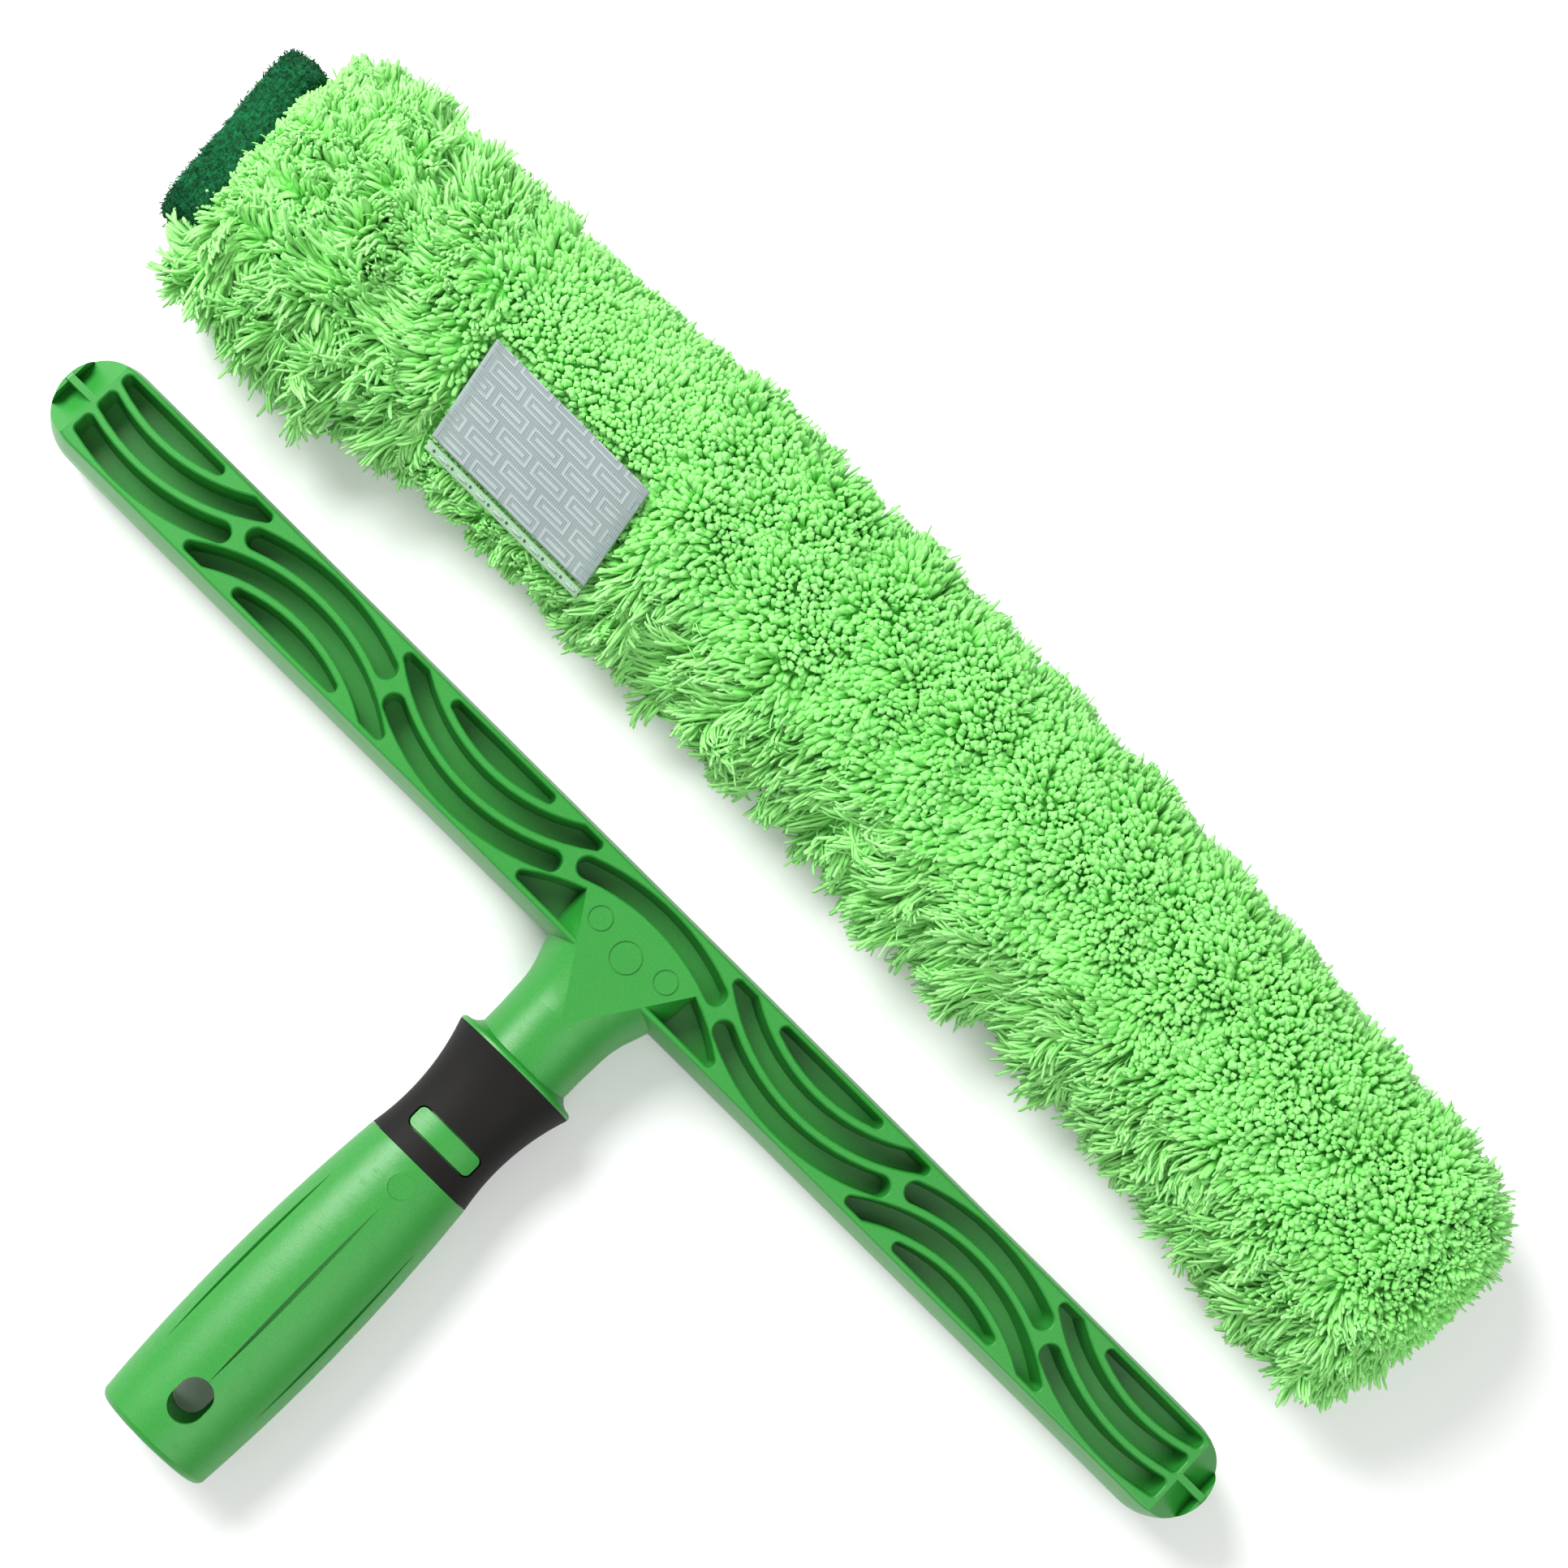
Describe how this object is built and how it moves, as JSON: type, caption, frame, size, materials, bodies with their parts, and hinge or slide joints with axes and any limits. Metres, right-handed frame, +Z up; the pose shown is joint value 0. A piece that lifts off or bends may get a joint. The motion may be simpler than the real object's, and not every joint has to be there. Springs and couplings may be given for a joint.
{
  "type": "window scrubber",
  "caption": "Window scrubber laid out in two: a T-bar with water pockets, waisted handle and pole socket, and a microfibre washer sleeve with a slit, closing tab and scrub pad.",
  "frame": {"origin": "on the table, under the middle of the box round the whole layout", "axes": "+X along the bar towards the sleeve's round nose, +Y from the handle's end towards the sleeve, +Z up from the table"},
  "size_m": [0.3764, 0.2574, 0.0454],
  "materials": {
    "green_plastic": "satin moulded plastic",
    "black_soft": "matt soft overmould",
    "backing_knit": "plain knit",
    "green_pile": "curled microfibre pile",
    "green_pad": "coarse abrasive fleece",
    "pale_thread": "sewing thread",
    "grey_weave": "woven ribbon with a faint sheen",
    "black_tape": "hook and loop tape"
  },
  "bodies": {
    "t_bar": {"t_bar": "green_plastic", "soft_band": "black_soft"},
    "sleeve": {"sleeve_backing": "backing_knit", "sleeve_pile": "green_pile", "slit_binding": "backing_knit", "scrub_pad": "green_pad", "pad_stitches": "pale_thread", "loop_tape": "black_tape", "tab_hem": "grey_weave", "tab_stitches": "pale_thread"},
    "tab": {"closure_tab": "grey_weave", "hook_tape": "black_tape"}
  },
  "joints": [
    {"name": "sleeve_slide", "type": "slide", "parent": "t_bar", "child": "sleeve", "axis": [0, 1, 0], "range_m": [0, 0.12]},
    {"name": "tab_hinge", "type": "hinge", "parent": "sleeve", "child": "tab", "pos_m": [-0.08355, 0.06419, 0.035], "axis": [1, 0, 0], "range_deg": [0, 150]}
  ]
}
